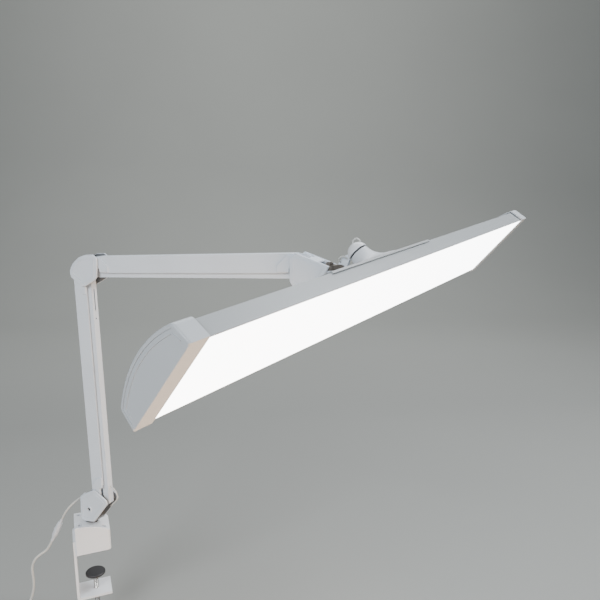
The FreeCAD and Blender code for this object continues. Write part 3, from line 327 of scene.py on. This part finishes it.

# %% [markdown]
# The small hinge between the wrist and the neck is oiled dark steel, darkened further as painted
# shade for the deep gaps of the hinge. The frames inside the covers are a dark grey that paints the
# shade in the gaps between the white parts. Steel gets metal in its shader; the bright pins and
# screws also get a grain that is long one way, as drawing leaves it. Rubber is dark and rough. The
# knob and the pad of the clamp are moulded in black.

# %% Steel, rubber and black plastic
steel = surface("bright_steel", (0.62, 0.61, 0.59), 0.26, metal=1.0, grain=900, relief=0.12,
                stretch=(1.0, 1.0, 0.15), rough_drift=0.10)
spring_steel = surface("spring_steel", (0.46, 0.46, 0.46), 0.30, metal=1.0, grain=1500, relief=0.08)
# dark brown steel of the hinge, made darker still as painted shade for the deep hinge
dark_steel_and_shade = surface("oiled_dark_steel_and_shade", (0.20, 0.18, 0.16), 0.42, metal=1.0, grain=900, relief=0.12)
# painted shade: the frames' dark grey stands in for the shadow in the gaps between the covers
frame_gap_shade = surface("frame_gap_shade_grey", (0.20, 0.21, 0.22), 0.55, metal=0.3, grain=1100, relief=0.2)
rubber = surface("black_rubber_finish", (0.022, 0.022, 0.023), 0.80, grain=1600, relief=0.3, drift=0.15)
black_moulding = surface("black_moulding", (0.030, 0.030, 0.033), 0.45, grain=2000, relief=0.15, drift=0.1)
board_finish = surface("white_board", (0.70, 0.71, 0.70), 0.35, grain=400, relief=0.05)

# %% [markdown]
# The light sheet glows. Its shine comes from the shader's own emission, a touch cooler than
# the room light, and it hides the rows of diodes behind it.

# %% The lit sheet
opal = surface("lit_opal_sheet", (0.92, 0.93, 0.94), 0.35, drift=0.01, grain=500, relief=0.03)
opal_shader = opal.node_tree.nodes["Principled BSDF"]
opal_shader.inputs["Emission Color"].default_value = (0.95, 0.98, 1.0, 1.0)
opal_shader.inputs["Emission Strength"].default_value = 9.0

# %% [markdown]
# Each part from the CAD takes one finish. A table that goes from finish to parts is easier to
# check than a line for each part, because it reads as the order list of a paint shop would. The
# leads, the springs and the clamp's screw aren't in it, because new pieces stand in for them.

# %% Dress the CAD parts
DRESS = {
    paint: ("fork_near_cover", "fork_far_cover", "lower_channel", "upper_channel",
            "lower_knuckles", "upper_knuckles", "lower_link_bar", "upper_link_bar",
            "elbow_near_cover", "elbow_far_cover", "wrist_frame", "wrist_near_cover", "wrist_far_cover",
            "neck_arm", "fork_bolt"),
    # the frames take the dark grey of painted shade in the gaps
    frame_gap_shade: ("fork_frame", "elbow_frame"),
    # hinge parts: dark steel that also paints the shade in the hinge
    dark_steel_and_shade: ("pan_hub", "pan_washers", "pan_bolt", "tilt_pin"),
    # the clamp takes the lighter copy of the coat, a painted highlight
    lit_clamp_paint: ("clamp_block", "c_bracket"),
    extrusion: ("head_shell", "cover_plate"),
    cap_moulding: ("end_caps",),
    moulding: ("swivel_pad", "inline_socket", "inline_plug", "power_adapter", "cord_gland",
               "power_button", "dimmer_rocker"),
    ball_gloss: ("ball_cap",),
    sheath: ("base_cable", "neck_cable"),
    steel: ("block_screws", "fork_pins", "lower_spring_posts", "upper_spring_posts",
            "elbow_pins", "wrist_pins", "ball_post", "swivel_post", "adapter_prongs"),
    rubber: ("jaw_pad", "swivel_seal", "coil_tie"),
    black_moulding: ("pressure_pad", "clamp_knob", "swivel_bush"),
    board_finish: ("led_board", "led_driver"),
    opal: ("diffuser",),
}
for finish, names in DRESS.items():
    for name in names:
        for slot in nodes[name].material_slots:
            slot.material = finish
for lead in (thin_lead, supply_lead):
    lead.data.materials.append(sheath)
print(sum(len(names) for names in DRESS.values()), "CAD parts dressed")

# %% [markdown]
# ## Tools for the new pieces
# An operator acts on whatever is selected, so a piece is made the only selected one before it is
# worked on. Long pieces are built upright at the origin, where their sizes are plain numbers,
# and are laid in their place at the end. The place goes into the mesh and not into the object,
# so that the object stays at the origin, as the drawn parts do.

# %% Three small tools
def alone(piece):
    """Makes one piece the only selected and active one."""
    for other in bpy.context.view_layer.objects:
        other.select_set(False)
    piece.select_set(True)
    bpy.context.view_layer.objects.active = piece


def apply_all(piece):
    alone(piece)
    for modifier in list(piece.modifiers):
        bpy.ops.object.modifier_apply(modifier=modifier.name)


def lay(piece, place, way):
    """Moves an upright piece from the origin to a place, with its top pointing along the way."""
    turn = Matrix((ACROSS, way.cross(ACROSS), way)).transposed().to_4x4()
    piece.data.transform(Matrix.Translation(place) @ turn)


# %% [markdown]
# ## Raised lines on the side covers
# Each side cover carries a fine raised line a few millimetres inside its edge, moulded with the
# cover. It starts as one flat face with the cover's main corners. Inset moves it in from the
# edge, a vertex bevel rounds its corners, a second inset leaves a narrow strip, and Solidify
# gives that strip its height. Moving the face in before rounding keeps the corners from crossing.

# %% Draw one raised line
COVER_FACE = 13.2
LINE_CORNER = 0.0028
LINE_WIDTH = 0.0013
LINE_HEIGHT = 0.0006


def raised_line(name, body, corners, side, gap):
    """corners are (u, z) of the cover's outline; side is -1 for the near cover, 1 for the far one."""
    bpy.ops.object.select_all(action="DESELECT")
    bpy.ops.mesh.primitive_circle_add(vertices=len(corners), radius=0.01, fill_type="NGON")
    line = bpy.context.object
    line.name = name
    for spot, (u, z) in zip(line.data.vertices, corners):
        spot.co = arm_point(u, side * COVER_FACE, z)
    line.data.update()
    bpy.ops.object.mode_set(mode="EDIT")
    bpy.ops.mesh.select_mode(type="FACE")
    bpy.ops.mesh.select_all(action="SELECT")
    bpy.ops.mesh.inset(thickness=gap)
    bpy.ops.mesh.select_all(action="INVERT")
    bpy.ops.mesh.delete(type="FACE")
    bpy.ops.mesh.select_mode(type="VERT")
    bpy.ops.mesh.select_all(action="SELECT")
    bpy.ops.mesh.bevel(offset=LINE_CORNER, segments=4, affect="VERTICES")
    bpy.ops.mesh.select_mode(type="FACE")
    bpy.ops.mesh.select_all(action="SELECT")
    bpy.ops.mesh.inset(thickness=LINE_WIDTH)
    bpy.ops.mesh.delete(type="ONLY_FACE")
    bpy.ops.object.mode_set(mode="OBJECT")
    if line.data.polygons[0].normal.dot(ACROSS * side) < 0:
        line.data.flip_normals()
    thick = line.modifiers.new("height", "SOLIDIFY")
    thick.thickness = LINE_HEIGHT
    thick.offset = 1.0
    apply_all(line)
    line.data.materials.append(paint)
    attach(line, body)
    print(name, len(line.data.polygons), "faces")


# %% Line both covers of the elbow, the wrist and the fork
COVER_LINES = {
    "elbow": (0.0050, [(9.0, 462.0), (12.5, 475.0), (27.9, 488.8), (42.7, 493.3), (65.5, 494.5),
                       (62.8, 457.0), (35.0, 443.0)]),
    "wrist": (0.0046, [(387.0, 468.5), (387.4, 502.5), (397.1, 509.6), (440.5, 495.5), (423.5, 469.5),
                       (404.0, 464.5)]),
    "fork": (0.0050, [(24.4, 112.1), (-7.4, 94.0), (-10.1, 53.0), (18.5, 53.0), (53.5, 95.5)]),
}
for part, (gap, corners) in COVER_LINES.items():
    raised_line(f"{part}_near_line", part, corners, -1, gap)
    raised_line(f"{part}_far_line", part, corners, 1, gap)

# %% [markdown]
# ## The springs
# A close-wound spring hides in each main bar and carries the arm's weight. CAD keeps a ridged
# sleeve in its place; here it becomes real wire. A small circle swept by the Screw modifier
# winds it, which is far quicker than placing points along a helix by hand. A ring at each end
# stands for the wire's last turn, bent up to hook over its post.

# %% Wind a spring along a bar
WIRE = 0.8 * MM
SPRING_RADIUS = 3.4 * MM
SPRING_TURNS = 58
RING_REACH = 2.4 * MM


def wound_spring(name, node, body, first, last):
    length = (last - first).length
    bpy.ops.object.select_all(action="DESELECT")
    bpy.ops.mesh.primitive_circle_add(vertices=8, radius=WIRE, location=(SPRING_RADIUS, 0, WIRE),
                                      rotation=(math.pi / 2, 0, 0), fill_type="NOTHING")
    spring = bpy.context.object
    spring.name = name
    bpy.ops.object.transform_apply(location=True, rotation=True, scale=True)
    winding = spring.modifiers.new("winding", "SCREW")
    winding.axis = "Z"
    winding.screw_offset = (length - 2 * WIRE) / SPRING_TURNS
    winding.iterations = SPRING_TURNS
    winding.steps = winding.render_steps = 14
    winding.use_merge_vertices = False
    apply_all(spring)
    for height in (-RING_REACH, length + RING_REACH):
        bpy.ops.mesh.primitive_torus_add(location=(0, 0, height), rotation=(0, math.pi / 2, 0),
                                         major_radius=SPRING_RADIUS, minor_radius=WIRE,
                                         major_segments=24, minor_segments=8)
        spring.select_set(True)
        bpy.context.view_layer.objects.active = spring
        bpy.ops.object.join()
        spring = bpy.context.object
    bpy.ops.object.mode_set(mode="EDIT")
    bpy.ops.mesh.select_all(action="SELECT")
    bpy.ops.mesh.remove_doubles(threshold=1e-6)
    bpy.ops.mesh.select_all(action="SELECT")
    bpy.ops.mesh.normals_make_consistent(inside=False)
    bpy.ops.object.mode_set(mode="OBJECT")
    bpy.ops.object.shade_smooth()
    lay(spring, first, (last - first).normalized())
    spring.data.materials.append(spring_steel)
    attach(spring, body)
    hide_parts(node)
    print(name, "of", SPRING_TURNS, "turns,", round(length, 4), "m long")


# %% Both springs
SPRING_OFF = 3.2   # from the line of the pins towards the outside of the elbow's bend
wound_spring("lower_arm_spring", "lower_spring", "lower_arm",
             on_bar(LOWER_BAR, 220, SPRING_OFF), on_bar(LOWER_BAR, 316, SPRING_OFF))
wound_spring("upper_arm_spring", "upper_spring", "upper_arm",
             on_bar(UPPER_BAR, 205, SPRING_OFF), on_bar(UPPER_BAR, 301, SPRING_OFF))

# %% [markdown]
# ## The clamp's screw
# The clamp closes with a long screw. CAD draws it as a plain rod; the thread is a small
# triangle of steel that the Screw modifier winds round the rod, one turn for every two
# millimetres. The rod under it is a cylinder, thinner by the thread's depth.

# %% Cut the thread
SCREW_TIP, SCREW_FOOT, PITCH = -50.6 * MM, -124.0 * MM, 2.0 * MM
CORE_RADIUS = 3.3 * MM
THREAD_RIDGE = ((3.2, 0.1), (3.98, 1.0), (3.2, 1.9))
bpy.ops.object.select_all(action="DESELECT")
bpy.ops.mesh.primitive_circle_add(vertices=3, radius=0.001, fill_type="NOTHING")
thread = bpy.context.object
thread.name = "threaded_screw"
for spot, (radius, height) in zip(thread.data.vertices, THREAD_RIDGE):
    spot.co = (radius * MM, 0, SCREW_FOOT + height * MM)
turns = int((SCREW_TIP - SCREW_FOOT) / PITCH) - 1
winding = thread.modifiers.new("winding", "SCREW")
winding.axis = "Z"
winding.screw_offset = PITCH
winding.iterations = turns
winding.steps = winding.render_steps = 28
winding.use_merge_vertices = False
apply_all(thread)
bpy.ops.mesh.primitive_cylinder_add(vertices=32, radius=CORE_RADIUS, depth=SCREW_TIP - SCREW_FOOT,
                                    location=(0, 0, (SCREW_TIP + SCREW_FOOT) / 2))
thread.select_set(True)
bpy.context.view_layer.objects.active = thread
bpy.ops.object.join()
bpy.ops.object.mode_set(mode="EDIT")
bpy.ops.mesh.select_all(action="SELECT")
bpy.ops.mesh.normals_make_consistent(inside=False)
bpy.ops.object.mode_set(mode="OBJECT")
bpy.ops.object.shade_smooth_by_angle(angle=math.radians(35))
thread.data.materials.append(steel)
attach(thread, "screw")
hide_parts("clamp_screw")
print("thread of", turns, "turns,", len(thread.data.polygons), "faces")

# %% [markdown]
# ## The bolt in the fork
# The flanged tube across the fork holds a socket screw, sunk well below its mouth; tightening it
# sets how stiffly the arm moves. A cylinder whose end face is inset and pushed in makes the
# screw's head. Its socket is left round, because so deep in a narrow tube its shape is lost.

# %% The sunk socket screw
HEAD_RADIUS, HEAD_DEPTH = 3.2 * MM, 5.0 * MM
SOCKET_RIM, SOCKET_DEPTH = 1.3 * MM, 2.4 * MM
SOCKET_PLACE = arm_point(11.4, -9.7, 75.2)
bpy.ops.object.select_all(action="DESELECT")
bpy.ops.mesh.primitive_cylinder_add(vertices=36, radius=HEAD_RADIUS, depth=HEAD_DEPTH, location=(0, 0, 0))
socket = bpy.context.object
socket.name = "fork_socket_screw"
for face in socket.data.polygons:
    face.select = face.normal.z > 0.9
bpy.ops.object.mode_set(mode="EDIT")
bpy.ops.mesh.select_mode(type="FACE")
bpy.ops.mesh.inset(thickness=SOCKET_RIM)
bpy.ops.mesh.extrude_region_move(TRANSFORM_OT_translate={"value": (0, 0, -SOCKET_DEPTH)})
bpy.ops.object.mode_set(mode="OBJECT")
bpy.ops.object.shade_smooth_by_angle(angle=math.radians(30))
seat = Matrix((arm_point(1, 0, 0).normalized(), Vector((0, 0, 1)), -ACROSS)).transposed().to_4x4()
socket.data.transform(Matrix.Translation(SOCKET_PLACE) @ seat)
# the screw is given black moulding as painted shade, so the tube's mouth reads dark
socket.data.materials.append(black_moulding)
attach(socket, "fork")
print("socket screw", len(socket.data.polygons), "faces")

# %% [markdown]
# ## The cable in the arms
# The lamp's cable runs up inside both bars, in the narrow gap beside the link bar. From the open
# side of each bar it shows as a thin line. It lies straight, and so a long thin cylinder does.

# %% Lay the cable along both bars
CABLE_RADIUS = 0.65 * MM
CABLE_SIDE = 5.95   # from the arm's middle plane towards the near side
CABLE_OFF = -9.5    # from the line of the pins towards the inside of the elbow's bend


def inner_cable(name, body, first, last):
    bpy.ops.object.select_all(action="DESELECT")
    bpy.ops.mesh.primitive_cylinder_add(vertices=12, radius=CABLE_RADIUS, depth=(last - first).length,
                                        location=(0, 0, 0))
    run = bpy.context.object
    run.name = name
    lay(run, (first + last) / 2 - ACROSS * CABLE_SIDE * MM, (last - first).normalized())
    bpy.ops.object.shade_smooth_by_angle(angle=math.radians(30))
    run.data.materials.append(sheath)
    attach(run, body)
    print(name, round((last - first).length, 3), "m")


inner_cable("lower_arm_cable", "lower_arm",
            on_bar(LOWER_BAR, 42, CABLE_OFF), on_bar(LOWER_BAR, 332, CABLE_OFF))
inner_cable("upper_arm_cable", "upper_arm",
            on_bar(UPPER_BAR, 42, CABLE_OFF), on_bar(UPPER_BAR, 314, CABLE_OFF))

# %% [markdown]
# ## The studio
# A pale sheet of paper lies under the lamp and curves up behind it, so there is no line where
# the floor ends. A plane with its far edge pulled up and its fold rounded does that, where a
# box of walls would show corners. It is stage, not lamp.

# %% The paper sweep
FLOOR = -0.140
PAPER_WIDE, PAPER_DEEP, PAPER_TALL = 14.0, 9.0, 7.0
BACK_LINE = 4.0
FOLD = 2.2
PAPER_TURN = math.radians(-21.6)
bpy.ops.object.select_all(action="DESELECT")
bpy.ops.mesh.primitive_plane_add(size=1.0, location=(0, 0, FLOOR))
paper = bpy.context.object
paper.name = "paper_sweep"
paper.data.transform(Matrix.Diagonal((PAPER_WIDE, PAPER_DEEP, 1.0, 1.0)))
alone(paper)
bpy.ops.object.mode_set(mode="EDIT")
bpy.ops.mesh.select_mode(type="EDGE")
bpy.ops.mesh.select_all(action="DESELECT")
bpy.ops.object.mode_set(mode="OBJECT")
for edge in paper.data.edges:
    edge.select = all(paper.data.vertices[v].co.y > BACK_LINE for v in edge.vertices)
bpy.ops.object.mode_set(mode="EDIT")
bpy.ops.mesh.extrude_region_move(TRANSFORM_OT_translate={"value": (0, 0, PAPER_TALL)})
bpy.ops.object.mode_set(mode="OBJECT")
for edge in paper.data.edges:
    ends = [paper.data.vertices[v].co for v in edge.vertices]
    edge.select = all(end.y > BACK_LINE and abs(end.z) < 0.01 for end in ends)
bpy.ops.object.mode_set(mode="EDIT")
bpy.ops.mesh.bevel(offset=FOLD, segments=24, affect="EDGES")
bpy.ops.object.mode_set(mode="OBJECT")
bpy.ops.object.shade_smooth()
alone(paper)
bpy.ops.object.transform_apply(location=True, rotation=True, scale=True)
paper.data.transform(Matrix.Rotation(PAPER_TURN, 4, "Z"))
paper_finish = surface("pale_paper", (0.29, 0.30, 0.29), 0.85, drift=0.02, drift_size=1.2, grain=300,
                       relief=0.05)
paper.data.materials.append(paper_finish)
print("paper sweep of", len(paper.data.polygons), "faces, floor at", FLOOR, "m")

# %% [markdown]
# Six soft lights do the work of a bright room: a wide one high on the left, weaker ones from
# the back, the front and the far end of the head, one on the paper behind, and a low warm one
# that stands in for light thrown back by a wooden table. Area lights are used because a window
# or a wall is large, and large lights give soft shadows.

# %% One soft light, pointed at its target
def soft_light(name, place, target, size, watts, tone):
    lamp = bpy.data.lights.new(name, "AREA")
    lamp.shape = "RECTANGLE"
    lamp.size, lamp.size_y = size
    lamp.energy = watts
    lamp.color = tone
    holder = bpy.data.objects.new(name, lamp)
    bpy.context.collection.objects.link(holder)
    holder.location = place
    way = Vector(target) - Vector(place)
    holder.rotation_mode = "QUATERNION"
    holder.rotation_quaternion = way.to_track_quat("-Z", "Y")


# %% The lights
ARM = (0.1, -0.2, 0.3)
COOL = (0.97, 0.98, 1.0)
soft_light("wide_left", (-2.2, -2.0, 2.2), ARM, (1.8, 1.4), 92, (0.94, 0.97, 1.0))
soft_light("high_back", (1.2, 1.6, 2.6), (0.2, -0.2, 0.3), (2.2, 1.6), 40, (1.0, 0.99, 0.97))
soft_light("front_fill", (-0.5, -2.6, 0.7), ARM, (2.0, 1.4), 12, COOL)
soft_light("far_end", (1.5, -0.5, 1.7), (0.6, -0.2, 0.5), (1.0, 0.8), 36, COOL)
soft_light("wall_wash", (0.6, 1.2, 2.7), (1.4, 4.0, 2.3), (2.4, 1.0), 95, (1.0, 1.0, 0.97))
soft_light("table_glow", (0.35, -0.80, 0.05), (0.06, -0.57, 0.42), (0.5, 0.4), 7.0, (1.0, 0.66, 0.40))

# %% [markdown]
# The room itself gives a weak, even, slightly blue light, which fills the shadows that the six
# lights leave.

# %% The room's own light
world = bpy.data.worlds.new("room")
world.use_nodes = True
world.node_tree.nodes["Background"].inputs["Color"].default_value = (0.80, 0.84, 0.88, 1)
world.node_tree.nodes["Background"].inputs["Strength"].default_value = 0.33
bpy.context.scene.world = world
print("lights:", ", ".join(light.name for light in bpy.data.lights))
